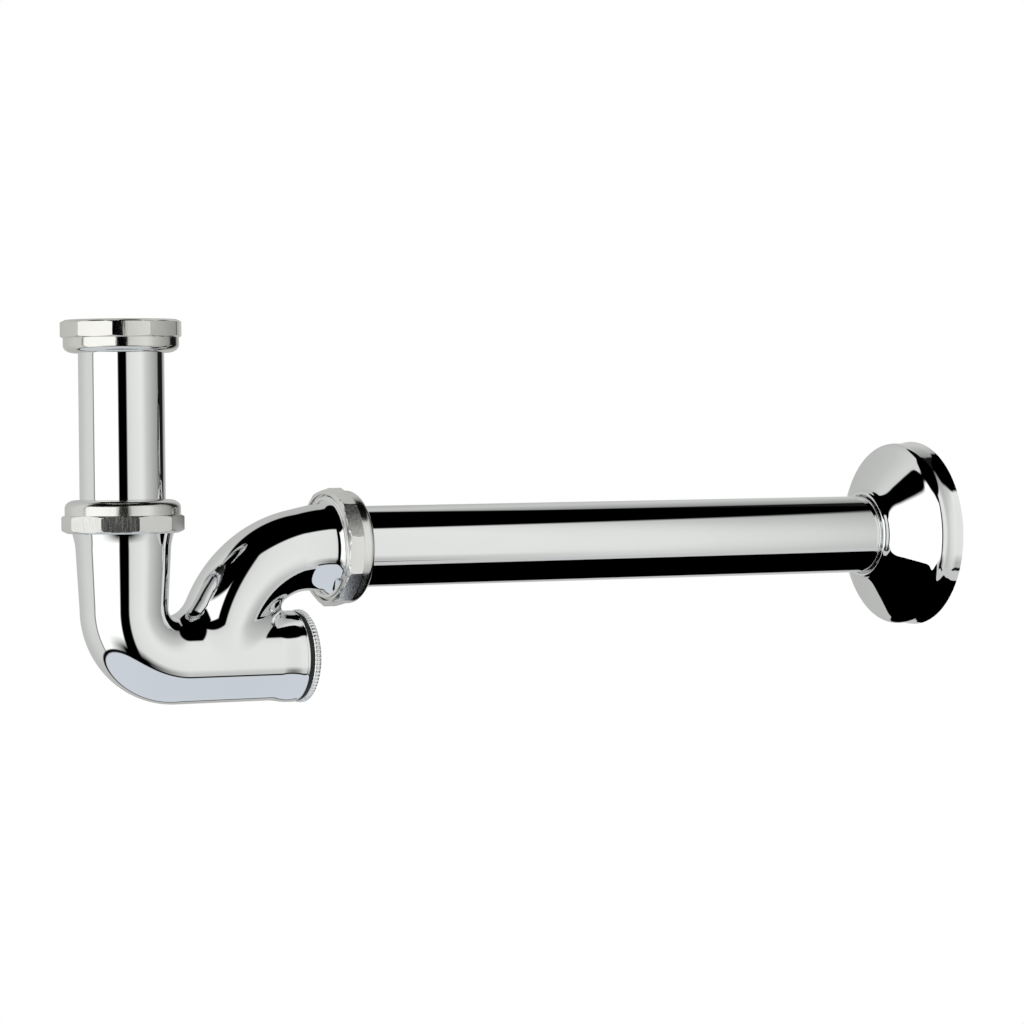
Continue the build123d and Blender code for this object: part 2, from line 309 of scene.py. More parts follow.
def make_piece(
    name: str,
    points: np.ndarray,
    quads: np.ndarray,
    finish: Finish,
    body: str,
    sharp_deg: float = PIECE_SHARP_DEG,
) -> bpy.types.Object:
    """Puts whole arrays of points and quads into a new mesh, smooths it and lets it ride a body.

    Args:
        name: Name of the piece.
        points: Points in metres.
        quads: Faces, four indices each.
        finish: The finish the piece gets.
        body: The CAD body it moves with.
        sharp_deg: Edges sharper than this stay crisp.

    Returns:
        The finished object.
    """
    mesh = bpy.data.meshes.new(name)
    mesh.from_pydata(points.tolist(), [], quads.tolist())
    work = bmesh.new()
    work.from_mesh(mesh)
    bmesh.ops.recalc_face_normals(work, faces=work.faces)
    work.to_mesh(mesh)
    work.free()
    mesh.shade_smooth()
    mesh.set_sharp_from_angle(angle=np.radians(sharp_deg))
    mesh.materials.append(finish.material())
    piece = link_mesh(name, mesh)
    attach(piece, body)
    LOG.info("%s: %d faces", name, len(mesh.polygons))
    return piece


def turn_piece(
    name: str,
    outline: np.ndarray,
    spindle: Spindle,
    finish: Finish,
    body: str,
    columns: int = 192,
    start: float = 0.0,
    trim: Callable[[np.ndarray, np.ndarray], np.ndarray] | None = None,
) -> bpy.types.Object:
    """Carries a closed outline round an axis: each point keeps its height and goes round at its radius.

    Args:
        name: Name of the piece.
        outline: Closed outline as (radius, height) rows in millimetres.
        spindle: The axis.
        finish: The finish the piece gets.
        body: The CAD body it moves with.
        columns: Points round the axis.
        start: Angle of the first point in radians.
        trim: Optional function of (radius, angle) that gives the radius after flats are cut.

    Returns:
        The finished object.
    """
    angle = start + TURN * np.arange(columns) / columns
    radius, theta = np.broadcast_arrays(outline[:, :1], angle[None, :])
    height = np.broadcast_to(outline[:, 1:], radius.shape)
    if trim is not None:
        radius = trim(radius, theta)
    points = spindle.place(radius, height, theta)
    return make_piece(name, points, ring_faces(len(outline), columns), finish, body)


def wind_thread(
    name: str,
    spindle: Spindle,
    root: float,
    crest: float,
    low: float,
    high: float,
    pitch: float,
    phase: float,
    finish: Finish,
    body: str,
) -> bpy.types.Object:
    """Winds one thread ridge with four sides: its middle climbs by the pitch for each turn.

    The ridge sinks into the root over its first and last quarter turn, so both ends run out.

    Args:
        name: Name of the piece.
        spindle: The thread's axis.
        root: Radius that the ridge stands on, in millimetres.
        crest: Radius of the ridge's top, in millimetres.
        low: Height where the thread starts.
        high: Height where the thread ends.
        pitch: Rise for each turn.
        phase: Share of a turn by which the thread is shifted.
        finish: The finish the piece gets.
        body: The CAD body it moves with.

    Returns:
        The finished object.
    """
    turns = (high - low) / pitch
    count = int(turns * THREAD_STEPS)
    angle = np.linspace(0.0, turns * TURN, count)
    run_out = np.clip(np.minimum(angle, angle[-1] - angle) / (TURN / 4), 0.0, 1.0)
    buried = np.full(count, root + THREAD_SINK * np.sign(root - crest))
    top = root + (crest - root) * run_out
    radius = np.stack([buried, top, top, buried])
    wide, narrow = RIDGE_FOOT * pitch, RIDGE_TOP * pitch
    offset = np.array([-wide, -narrow, narrow, wide])[:, None]
    height = np.broadcast_to(low + pitch * (angle / TURN), radius.shape) + offset
    theta = np.broadcast_to(angle + TURN * (low / pitch + phase), radius.shape)
    points = spindle.place(radius, height, theta)
    sides = len(offset)
    i, j = np.meshgrid(np.arange(sides), np.arange(count - 1), indexing="ij")
    i, j = i.ravel(), j.ravel()
    i2 = (i + 1) % sides
    corners = [i * count + j, i * count + j + 1, i2 * count + j + 1, i2 * count + j]
    return make_piece(name, points, np.stack(corners, axis=1), finish, body)


def dress_node(node: str, finish: Finish, body: str) -> bpy.types.Object:
    """Copies a CAD node's mesh, merges its doubled corners, smooths it and lets it stand for the node.

    Args:
        node: The CAD node.
        finish: The finish the copy gets.
        body: The CAD body it moves with.

    Returns:
        The finished copy.
    """
    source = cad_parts[node]
    mesh = source.data.copy()
    mesh.name = f"{node}_skin"
    work = bmesh.new()
    work.from_mesh(mesh)
    work.transform(source.matrix_world)
    bmesh.ops.remove_doubles(work, verts=work.verts, dist=MERGE_DISTANCE)
    work.to_mesh(mesh)
    work.free()
    mesh.shade_smooth()
    mesh.set_sharp_from_angle(angle=np.radians(NODE_SHARP_DEG))
    mesh.materials.clear()
    mesh.materials.append(finish.material())
    piece = link_mesh(f"{node}_skin", mesh)
    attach(piece, body)
    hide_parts(node)
    LOG.info("%s_skin: %d faces", node, len(mesh.polygons))
    return piece


OUTLET_Z = -83.0
LEG_Z = -125.3
UP = Spindle((0, 0, 0), (0, 0, 1), (1, 0, 0))
TO_WALL = Spindle((0, 0, OUTLET_Z), (1, 0, 0), (0, 1, 0))
ALONG_LEG = Spindle((0, 0, LEG_Z), (1, 0, 0), (0, 1, 0))


@dataclass
class UnionNut:
    """Union nut: ten flats, a turned collar and a threaded mouth."""

    node: str
    body: str
    spindle: Spindle
    flip: bool
    corner_deg: float
    closed_end: float
    height: float = 12.8
    sides: int = 10
    corner: float = 23.6
    collar: float = 22.25
    collar_start: float = 2.4
    bead_reach: float = 4.2
    bead_rise: float = 1.25
    bead_points: int = 9
    flats_start: float = 5.9
    flats_bevel: float = 0.55
    mouth_bevel: float = 1.1
    hole: float = 16.9
    shoulder: float = 3.0
    seat: float = 6.5
    relief: float = 21.255
    thread: float = 20.955
    thread_depth: float = 0.6
    thread_inset: tuple[float, float] = (0.4, 0.5)
    thread_phase: float = 0.5
    pitch: float = UNION_PITCH
    edge: float = 0.35
    crown: float = 0.0
    columns: int = 400
    finish: Finish = NUT_PLATE

    def outline(self) -> np.ndarray:
        """The nut's section: rounded collar, flats with turned ends, thread bore, relief and tube hole.

        The collar's round is a quarter of an ellipse: radius = collar - reach (1 - sin a), and height =
        rise times collar start times (1 - cos a), for a from 0 to a quarter turn.

        Returns:
            Rows of (radius, height from the closed end) in millimetres.
        """
        flat = self.corner * np.cos(np.pi / self.sides)
        bead = np.linspace(0.0, np.pi / 2, self.bead_points)
        bead_radius = self.collar - self.bead_reach * (1 - np.sin(bead))
        bead_height = self.bead_rise * self.collar_start * (1 - np.cos(bead))
        corners = [
            (self.hole, 0.0),
            *zip(bead_radius, bead_height),
            (self.collar, self.flats_start),
            (flat, self.flats_start),
            (self.corner, self.flats_start + self.flats_bevel),
            (self.corner, self.height - self.mouth_bevel),
            (flat - self.mouth_bevel, self.height),
            (self.thread, self.height),
            (self.thread, self.seat),
            (self.relief, self.seat),
            (self.relief, self.shoulder),
            (self.hole, self.shoulder),
        ]
        return divide(soften(corners, self.edge), parts=3)

    def cut_flats(self, radius: np.ndarray, angle: np.ndarray) -> np.ndarray:
        """A point keeps its radius or the flat's, whichever is less.

        A flat's radius is apothem / cos(angle from its middle), and its crown swells it by crown times
        (1 minus the square of that angle's share of half a flat), as polishing leaves it.

        Args:
            radius: Turned radii in millimetres.
            angle: Angles in radians.

        Returns:
            The radii with the flats cut.
        """
        share = TURN / self.sides
        local = np.mod(angle - np.radians(self.corner_deg), share) - share / 2
        swell = self.crown * (1 - (2 * local / share) ** 2)
        return np.minimum(radius, self.corner * np.cos(share / 2) / np.cos(local) + swell)

    def build(self) -> None:
        """Makes the nut and its inner thread."""
        rows = self.outline()
        sign = -1.0 if self.flip else 1.0
        rows[:, 1] = self.closed_end + sign * rows[:, 1]
        piece = turn_piece(
            f"{self.node}_turned", rows, self.spindle, self.finish, self.body,
            columns=self.columns, start=np.radians(self.corner_deg), trim=self.cut_flats,
        )
        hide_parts(self.node)
        inner, outer = self.seat + self.thread_inset[0], self.height - self.thread_inset[1]
        low, high = sorted((self.closed_end + sign * inner, self.closed_end + sign * outer))
        wind_thread(
            f"{self.node}_thread", self.spindle,
            root=self.thread, crest=self.thread - self.thread_depth, low=low, high=high,
            pitch=self.pitch, phase=self.thread_phase, finish=NUT_PLATE, body=self.body,
        )


@dataclass
class PlainTube:
    """Drawn tube, plated outside and bare brass inside, with an optional flange."""

    node: str
    body: str
    spindle: Spindle
    start: float
    end: float
    outer: float
    wall: float = 1.0
    lining: float = 0.3
    edge: float = 0.25
    bore_edge: float = 0.08
    flange: float = 0.0
    flange_at: float = 0.0
    flange_thick: float = 1.5
    skin_columns: int = 256
    bore_columns: int = 128

    def build(self) -> None:
        """Turns the plated skin and the bare lining inside it."""
        inner = self.outer - self.wall
        mid = inner + self.lining
        top = self.flange_at if self.flange else self.end
        corners = [(mid, self.start), (self.outer, self.start)]
        if self.flange:
            low = self.flange_at - self.flange_thick
            corners += [(self.outer, low), (self.flange, low), (self.flange, top)]
        else:
            corners.append((self.outer, top))
        corners.append((mid, top))
        outline = soften(corners, self.edge, steps=5)
        skin = turn_piece(
            f"{self.node}_skin", outline, self.spindle, CHROME, self.body, self.skin_columns
        )
        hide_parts(self.node)
        bore = [(inner, self.start), (mid, self.start), (mid, top), (inner, top)]
        outline = soften(bore, self.bore_edge, steps=2)
        turn_piece(
            f"{self.node}_bore", outline, self.spindle, BARE_BRASS, self.body, self.bore_columns
        )


@dataclass(frozen=True)
class ThreadedSocket:
    """A threaded end of the trap body with a cone seat in its mouth."""

    name: str
    spindle: Spindle
    bore: float
    foot: float
    foot_radius: float
    neck: float
    rim: float
    neck_radius: float = 17.6
    thread_root: float = 19.9
    thread_crest: float = 20.705
    thread_inset: tuple[float, float] = (0.2, 0.3)
    mouth: float = 19.2
    seat: float = 17.5
    seat_depth: float = 4.5
    edge: float = 0.2

    def build(self, body: str) -> None:
        """Turns the socket and winds its thread.

        Args:
            body: The CAD body it moves with.
        """
        stop = self.rim - self.seat_depth
        corners = [
            (self.bore, self.foot),
            (self.foot_radius, self.foot),
            (self.neck_radius, self.neck),
            (self.thread_root, self.neck),
            (self.thread_root, self.rim),
            (self.mouth, self.rim),
            (self.seat, stop),
            (self.bore, stop),
        ]
        outline = soften(corners, self.edge, steps=3)
        turn_piece(f"{self.name}_socket", outline, self.spindle, CHROME, body)
        wind_thread(
            f"{self.name}_thread", self.spindle,
            root=self.thread_root, crest=self.thread_crest,
            low=self.neck + self.thread_inset[0], high=self.rim - self.thread_inset[1],
            pitch=UNION_PITCH, phase=0.0, finish=CHROME, body=body,
        )


@dataclass
class TrapBody:
    """The U-shaped body: tapered leg, elbow, horizontal leg and the branch that rises to the outlet."""

    body: str = "trap"
    bend: float = 20.5
    leg: float = 17.0
    neck: float = 18.3
    neck_top: float = -75.6
    neck_side: float = 25.0
    flare: float = 6.0
    flare_rise: float = 1.2
    flare_power: float = 1.5
    overrun: float = 1.2
    rim_z: float = -68.2
    branch: float = 16.0
    branch_bend: float = 43.0
    branch_end: float = 81.5
    arc_overlap: float = 1.5
    foot_push: float = 0.15
    foot_reach: float = 6.0
    outlet_neck: float = 85.6
    outlet_rim: float = 93.0
    outlet_flare: float = 15.0
    outlet_rise: float = 1.8
    outlet_power: float = 1.6
    curl_length: float = 3.0
    curl_rise: float = 1.0
    leg_end: float = 70.8
    swell_start: float = 60.0
    swell_length: float = 8.0
    plug_end: float = 17.9
    lip_bore: float = 15.9
    lip_root: float = 16.6
    lip_start: float = 60.0
    lip_step: tuple[float, float] = (69.4, 69.6)
    lip_proud: float = 0.03
    lip_edge: float = 0.25
    lip_columns: int = 256
    blend: float = 6.0
    blend_side: float = 2.4
    blend_stop: float = 72.0
    blend_fade: float = 8.0
    blend_least: float = 0.06
    tuck: float = 0.3
    plug_tuck: float = 0.6
    split_z: float = -106.0
    grid_low: Triple = (-21.0, -22.0, -145.0)
    grid_high: Triple = (90.0, 22.0, -60.0)
    cell: float = 0.9
    first_rounds: int = 4
    even_rounds: int = 6
    settle_rounds: int = 2

    def distance(self, p: np.ndarray) -> np.ndarray:
        """Signed distance to the body's outside, in millimetres, below zero inside.

        The tubes are distances to their centre lines minus their radii. Where the leg and the branch
        meet, the smaller distance is lowered by k/4 times the square of (1 - difference/k), which rounds
        the crotch. k is less at the sides and nearly dies out towards the plug end. Below its bend's
        centre the branch is pushed out of the way by the square of the depth, so its foot ends in the leg.

        Args:
            p: Points in millimetres.

        Returns:
            One distance per point.
        """
        x, y, z = p[:, 0], p[:, 1], p[:, 2]
        top = LEG_Z + self.bend
        flare_foot = self.neck_top - self.flare
        climb = np.clip((z - top) / (flare_foot - top), 0, 1)
        lift = np.clip((z - flare_foot) / self.flare, 0, self.overrun)
        taper = self.leg + (self.neck - self.leg) * climb + self.flare_rise * lift**self.flare_power
        upright = np.where(z >= top, np.hypot(x, y) - taper, FAR)
        around = np.hypot(x - self.bend, z - top)
        elbow = np.hypot(around - self.bend, y) - self.leg
        swell = np.clip((x - self.swell_start) / self.swell_length, 0, 1)
        girth = self.leg + (self.plug_end - self.leg) * swell**2 * (3 - 2 * swell)
        level = np.where(x >= self.bend, np.hypot(y, z - LEG_Z) - girth, FAR)
        tube = np.where((x < self.bend) & (z < top), elbow, np.minimum(upright, level))
        centre_z = OUTLET_Z - self.branch_bend
        ahead = x - self.outlet_neck
        opening = np.clip((ahead + self.outlet_flare) / self.outlet_flare, 0, self.overrun)
        curl = np.clip((ahead + self.curl_length) / self.curl_length, 0, self.overrun)
        width = self.branch + self.outlet_rise * opening**self.outlet_power + self.curl_rise * curl**2
        turned = np.hypot(x - self.branch_end, z - centre_z) - self.branch_bend
        arc = np.hypot(turned, y) - width
        straight = np.hypot(y, z - OUTLET_Z) - width
        rise = np.where(x < self.branch_end - self.arc_overlap, arc, straight)
        rise = rise + self.foot_push * np.maximum(centre_z + self.foot_reach - z, 0) ** 2
        middle = np.clip(1 - (y / self.leg) ** 2, 0, 1)
        fade = np.clip((self.blend_stop - x) / self.blend_fade, self.blend_least, 1)
        k = (self.blend_side + self.blend * middle) * fade
        near = np.clip(1 - np.abs(tube - rise) / k, 0, 1)
        return np.minimum(tube, rise) - 0.25 * k * near**2

    def slope(self, p: np.ndarray) -> np.ndarray:
        """Unit gradient of the distance, from differences a fiftieth of a millimetre to each side.

        Args:
            p: Points in millimetres.

        Returns:
            One unit vector per point.
        """
        step = 0.02
        parts = [self.distance(p + step * axis) - self.distance(p - step * axis) for axis in np.eye(3)]
        grad = np.stack(parts, axis=1)
        return grad / np.maximum(np.linalg.norm(grad, axis=1, keepdims=True), TINY)

    def settle(self, p: np.ndarray, rounds: int) -> np.ndarray:
        """Moves points on to the surface: each round takes away the distance along the gradient.

        Args:
            p: Points in millimetres.
            rounds: How often they are moved.

        Returns:
            The moved points.
        """
        for _ in range(rounds):
            p = p - self.distance(p)[:, None] * self.slope(p)
        return p

    def even_out(self, points: np.ndarray, faces: np.ndarray) -> np.ndarray:
        """Evens out a net: each round takes a point half way to its neighbours' mean, then to the surface.

        Args:
            points: Points in millimetres.
            faces: The quads that join them.

        Returns:
            The points, evened out and on the surface.
        """
        edges = np.concatenate([faces[:, [n, (n + 1) % 4]] for n in range(4)])
        start, end = np.concatenate([edges, edges[:, ::-1]]).T
        size = len(points)
        count = np.maximum(np.bincount(start, minlength=size), 1)[:, None]
        points = self.settle(points, self.first_rounds)
        for _ in range(self.even_rounds):
            sums = [np.bincount(start, weights=points[end, n], minlength=size) for n in range(3)]
            halfway = 0.5 * points + 0.5 * np.stack(sums, axis=1) / count
            points = self.settle(halfway, self.settle_rounds)
        return points

    def net(self) -> tuple[np.ndarray, np.ndarray]:
        """Wraps the surface where the distance is zero in quads.

        Every grid cell whose corners differ in sign gets a point, every grid edge that changes sign gets
        a quad of the four cells round it, and the points are then evened out and moved on to the surface.

        Returns:
            Points in millimetres and quads.
        """
        axes = [np.arange(a, b, self.cell) for a, b in zip(self.grid_low, self.grid_high)]
        grid = np.meshgrid(*axes, indexing="ij")
        samples = np.stack([values.ravel() for values in grid], axis=1)
        inside = (self.distance(samples) < 0).reshape(grid[0].shape)
        nx, ny, nz = (size - 1 for size in inside.shape)
        corner = sum(
            inside[i : nx + i, j : ny + j, k : nz + k].astype(int)
            for i in (0, 1)
            for j in (0, 1)
            for k in (0, 1)
        )
        live = (corner > 0) & (corner < 8)
        index = np.full(live.shape, -1)
        index[live] = np.arange(live.sum())
        points = np.array(self.grid_low) + (np.argwhere(live) + 0.5) * self.cell
        quads = []
        for axis in range(3):
            a, b = [n for n in range(3) if n != axis]
            first = np.take(inside, range(inside.shape[axis] - 1), axis)
            second = np.take(inside, range(1, inside.shape[axis]), axis)
            change = np.argwhere(first != second)
            change = change[np.all((change >= 1) & (change < np.array(live.shape)), axis=1)]
            ring = []
            for da, db in ((-1, -1), (0, -1), (0, 0), (-1, 0)):
                at = change.copy()
                at[:, a] += da
                at[:, b] += db
                ring.append(index[tuple(at.T)])
            quads.append(np.stack(ring, axis=1))
        faces = np.concatenate(quads)
        faces = faces[np.all(faces >= 0, axis=1)]
        return self.even_out(points, faces), faces

    def build_skin(self) -> None:
        """Makes the blended skin and cuts it off, a little inside, where the sockets take over."""
        points, faces = self.net()
        normals = self.slope(points)
        x, z = points[:, 0].copy(), points[:, 2].copy()
        cuts = (
            (2, self.neck_top + self.tuck, x < self.neck_side),
            (0, self.leg_end - self.plug_tuck, z < self.split_z),
            (0, self.outlet_neck + self.tuck, z > self.split_z),
        )
        past = np.zeros(len(points), dtype=bool)
        for axis, limit, where in cuts:
            beyond = (points[:, axis] > limit) & where
            points[beyond, axis] = limit
            past |= beyond
        faces = faces[~np.all(past[faces], axis=1)]
        used = np.unique(faces)
        renumber = np.full(len(points), -1)
        renumber[used] = np.arange(len(used))
        quads = renumber[faces]
        skin = make_piece("trap_skin", points[used] * MM, quads, CHROME, self.body, ALL_SMOOTH_DEG)
        skin.data.normals_split_custom_set_from_vertices(normals[used].tolist())
        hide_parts("trap_body")

    def build(self) -> None:
        """Makes the blended skin and the turned sockets that it runs into."""
        self.build_skin()
        ThreadedSocket(
            "trap_inlet", UP, bore=16.75, foot=-82.0, foot_radius=17.6,
            neck=self.neck_top, rim=self.rim_z,
        ).build(self.body)
        ThreadedSocket(
            "trap_outlet", TO_WALL, bore=16.25, foot=84.0, foot_radius=16.9,
            neck=self.outlet_neck, rim=self.outlet_rim,
        ).build(self.body)
        proud = self.plug_end + self.lip_proud
        lip = [
            (self.lip_bore, self.lip_start),
            (self.lip_root, self.lip_start),
            (self.lip_root, self.lip_step[0]),
            (proud, self.lip_step[1]),
            (proud, self.leg_end),
            (self.lip_bore, self.leg_end),
        ]
        outline = soften(lip, self.lip_edge)
        turn_piece("trap_plug_socket", outline, ALONG_LEG, CHROME, self.body, self.lip_columns)


@dataclass
class WallRosette:
    """Pressed sheet rosette: rolled lip, hollow cone, round shoulder and a band with a flared rim."""

    node: str = "wall_rosette"
    body: str = "rosette"
    front: float = 337.4
    back: float = 363.0
    lip_inner: float = 16.25
    sheet: float = 0.9
    columns: int = 320
    curve_steps: int = 6
    lip: Stops = ((16.3, 338.4), (16.75, 337.5), (17.5, 337.45), (18.15, 338.2), (18.6, 339.5))
    cone: Stops = ((20.0, 340.8), (24.0, 343.6), (28.0, 346.4), (32.0, 349.2), (34.4, 350.85))
    shoulder: Stops = ((36.4, 352.1), (37.65, 353.3), (38.05, 354.9))
    band: Stops = ((37.95, 357.2), (38.05, 359.6), (38.4, 361.6), (38.66, 363.0))

    def outer(self) -> np.ndarray:
        """The outside of the section: a smooth curve through stations, each a (radius, place) pair.

        Points between stations come from a Catmull-Rom blend: half of (2 P1 + (P2 - P0) t
        + (2 P0 - 5 P1 + 4 P2 - P3) t^2 + (3 P1 - P0 - 3 P2 + P3) t^3).

        Returns:
            Rows of (radius, place along the wall tube).
        """
        p = np.array(self.lip + self.cone + self.shoulder + self.band)
        ends = np.concatenate([2 * p[:1] - p[1:2], p, 2 * p[-1:] - p[-2:-1]])
        p0, p1, p2, p3 = (ends[n : len(ends) - 3 + n, None] for n in range(4))
        t = np.linspace(0, 1, self.curve_steps, endpoint=False)[None, :, None]
        square, cube = 2 * p0 - 5 * p1 + 4 * p2 - p3, 3 * p1 - p0 - 3 * p2 + p3
        curve = 0.5 * (2 * p1 + (p2 - p0) * t + square * t**2 + cube * t**3)
        return np.concatenate([curve.reshape(-1, 2), p[-1:]])

    def build(self) -> None:
        """Offsets the outside by the sheet's thickness along its normals, closes the section and turns it."""
        outer = self.outer()
        run = np.gradient(outer, axis=0)
        length = np.linalg.norm(run, axis=1, keepdims=True)
        inner = outer + self.sheet * (np.stack([-run[:, 1], run[:, 0]], axis=1) / length)
        inner[:, 0] = np.maximum(inner[:, 0], self.lip_inner)
        inner[:, 1] = np.clip(inner[:, 1], self.front, self.back)
        loop = np.concatenate([outer, inner[::-1]])
        piece = turn_piece(f"{self.node}_skin", loop, TO_WALL, CHROME, self.body, self.columns)
        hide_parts(self.node)


@dataclass
class SealKit:
    """The rubber rings, cone seals and slip washers, each node with the body that it moves with."""

    rubber: dict[str, str] = field(
        default_factory=lambda: {
            "inlet_gasket": "inlet",
            "socket_seal": "socket_seal",
            "outlet_seal": "outlet_seal",
            "plug_gasket": "plug_gasket",
        }
    )
    plastic: dict[str, str] = field(
        default_factory=lambda: {
            "socket_slip_washer": "socket_washer",
            "outlet_slip_washer": "outlet_washer",
        }
    )

    def build(self) -> None:
        """Dresses each ring in its own finish."""
        for node, body in self.rubber.items():
            dress_node(node, RUBBER, body)
        for node, body in self.plastic.items():
            dress_node(node, SLIP, body)


@dataclass
class CleanoutPlug:
    """Knurled plug with a coin slot and a threaded shank."""

    node: str = "cleanout_plug"
    body: str = "plug"
    thread_root: float = 15.62
    thread_crest: float = 15.82
    thread_start: float = 64.4
    thread_end: float = 72.2
    pitch: float = 1.5

    def build(self) -> None:
        """Dresses the plug and winds its thread."""
        dress_node(self.node, CHROME, self.body)
        wind_thread(
            f"{self.node}_thread", ALONG_LEG,
            root=self.thread_root, crest=self.thread_crest,
            low=self.thread_start, high=self.thread_end,
            pitch=self.pitch, phase=0.0, finish=CHROME, body=self.body,
        )


@dataclass
class Studio:
    """What the chrome mirrors, and the camera.

    A round surround glows by direction: pale walls with dark gaps, a dark ceiling and a blue-grey ground.
    A dark card lies under the wall tube, and a white floor lies far below.
    """

    camera_mm: Triple = (-647.01, -1503.37, -35.38)
    right: Triple = (0.878495, -0.477648, -0.009627)
    up: Triple = (0.018285, 0.013490, 0.999746)
    forward: Triple = (0.477391, 0.878447, -0.020591)
    lens: float = 149.292
    sensor: float = 36.0
    clip: tuple[float, float] = (0.05, 50.0)
    shell_radius: float = 4.0
    shell_grid: tuple[int, int] = (49, 96)
    floor_z: float = -1.2
    floor_reach: float = 8.0
    floor_grey: float = 0.8
    floor_rough: float = 0.9
    card_z: float = -193.0
    card_x: tuple[float, float] = (133.0, 520.0)
    card_y: Triple = (-126.0, -90.0, 115.0)
    card_glow: tuple[tuple[str, float], ...] = (("grey_card", 0.6), ("black_card", 0.0))
    ground: Triple = (0.64, 0.68, 0.73)
    wall_tint: Triple = (0.985, 1.0, 0.975)
    elevation_stops: Stops = (
        (-90, 0.95), (-40, 0.95), (0, 1.0), (54, 1.0), (57, 0.0), (90, 0.0),
    )
    ground_stops: Stops = ((-90, 1.0), (-43, 1.0), (-42, 0.0), (90, 0.0))
    gap_stops: Stops = (
        (-90, 1.0), (-43, 1.0), (-42, 0.0), (-39.5, 0.0), (-38.5, 1.0), (90, 1.0),
    )
    low_stops: Stops = (
        (-90, 0.0), (-43, 0.0), (-42, 1.0), (-34, 1.0), (-24, 0.0), (90, 0.0),
    )
    low_turn_stops: Stops = (
        (-180, 0.0), (-50, 0.0), (-10, 1.0), (26, 1.0), (70, 0.0), (180, 0.0),
    )
    tilt_stops: Stops = (
        (-180, 0.0), (-100, 0.0), (-80, 0.128), (-7, 0.128),
        (8, 0.0556), (125, 0.0556), (149, 0.0), (180, 0.0),
    )
    turn_stops: Stops = (
        (-180, 0.50), (-130, 0.58), (-100, 0.70), (-79, 0.70), (-76, 0.05), (-73, 1.15),
        (-5.5, 1.15), (-3.5, 0.0), (18, 0.0), (20, 0.72), (33, 0.80), (57, 0.86),
        (64, 0.80), (75, 0.62), (95, 0.46), (116, 0.32), (121, 0.01), (145, 0.01),
        (148, 0.30), (160, 0.46), (170, 0.62), (180, 0.50),
    )

    def ramp(self, tree: bpy.types.NodeTree, stops: Stops, span: float) -> bpy.types.Node:
        """A grey ramp over angles from minus span to plus span.

        Args:
            tree: The node tree.
            stops: Pairs of angle in degrees and grey level.
            span: Half the range in degrees.

        Returns:
            The ramp node.
        """
        node = tree.nodes.new("ShaderNodeValToRGB")
        ramp = node.color_ramp
        while len(ramp.elements) < len(stops):
            ramp.elements.new(0.5)
        for element, (angle, grey) in zip(ramp.elements, stops):
            element.position = (angle + span) / (2 * span)
            element.color = (grey, grey, grey, 1.0)
        return node

    def share(
        self, tree: bpy.types.NodeTree, source: bpy.types.NodeSocket, half: float
    ) -> bpy.types.NodeSocket:
        """Maps an angle between minus half and plus half on to 0 to 1.

        Args:
            tree: The node tree.
            source: The angle in radians.
            half: Half the range in radians.

        Returns:
            The mapped value.
        """
        node = tree.nodes.new("ShaderNodeMapRange")
        node.inputs["From Min"].default_value = -half
        node.inputs["From Max"].default_value = half
        tree.links.new(source, node.inputs["Value"])
        return node.outputs["Result"]

    def blend(
        self,
        tree: bpy.types.NodeTree,
        mode: str,
        factor: bpy.types.NodeSocket | float,
        first: bpy.types.NodeSocket,
        second: bpy.types.NodeSocket | tuple[float, ...],
    ) -> bpy.types.NodeSocket:
        """Mixes two colours.

        Args:
            tree: The node tree.
            mode: The mix node's blend type.
            factor: How much of the second colour is mixed in.
            first: The first colour.
            second: The second colour, linked or fixed.

        Returns:
            The mixed colour.
        """
        node = tree.nodes.new("ShaderNodeMix")
        node.data_type = "RGBA"
        node.blend_type = mode
        if isinstance(factor, float):
            node.inputs[MIX_FACTOR].default_value = factor
        else:
            tree.links.new(factor, node.inputs[MIX_FACTOR])
        tree.links.new(first, node.inputs[MIX_FIRST])
        if isinstance(second, tuple):
            node.inputs[MIX_SECOND].default_value = second
        else:
            tree.links.new(second, node.inputs[MIX_SECOND])
        return node.outputs[MIX_RESULT]

    def directions(
        self, tree: bpy.types.NodeTree
    ) -> tuple[bpy.types.NodeSocket, bpy.types.NodeSocket]:
        """Height and turn of each direction, both from 0 to 1: arcsin z, and arctan of y over x.

        The turn is counted from the way to the camera.

        Args:
            tree: The node tree.

        Returns:
            The height's and the turn's sockets.
        """
        place = tree.nodes.new("ShaderNodeTexCoord")
        unit = tree.nodes.new("ShaderNodeVectorMath")
        unit.operation = "NORMALIZE"
        tree.links.new(place.outputs["Object"], unit.inputs[0])
        spin = tree.nodes.new("ShaderNodeMapping")
        spin.vector_type = "POINT"
        face = np.arctan2(-self.forward[1], -self.forward[0])
        spin.inputs["Rotation"].default_value = (0.0, 0.0, -float(face))
        tree.links.new(unit.outputs["Vector"], spin.inputs["Vector"])
        split = tree.nodes.new("ShaderNodeSeparateXYZ")
        tree.links.new(spin.outputs["Vector"], split.inputs["Vector"])
        lift = tree.nodes.new("ShaderNodeMath")
        lift.operation = "ARCSINE"
        tree.links.new(split.outputs["Z"], lift.inputs[0])
        around = tree.nodes.new("ShaderNodeMath")
        around.operation = "ARCTAN2"
        tree.links.new(split.outputs["Y"], around.inputs[0])
        tree.links.new(split.outputs["X"], around.inputs[1])
        climb = self.share(tree, lift.outputs["Value"], np.pi / 2)
        turned = self.share(tree, around.outputs["Value"], np.pi)
        return climb, turned

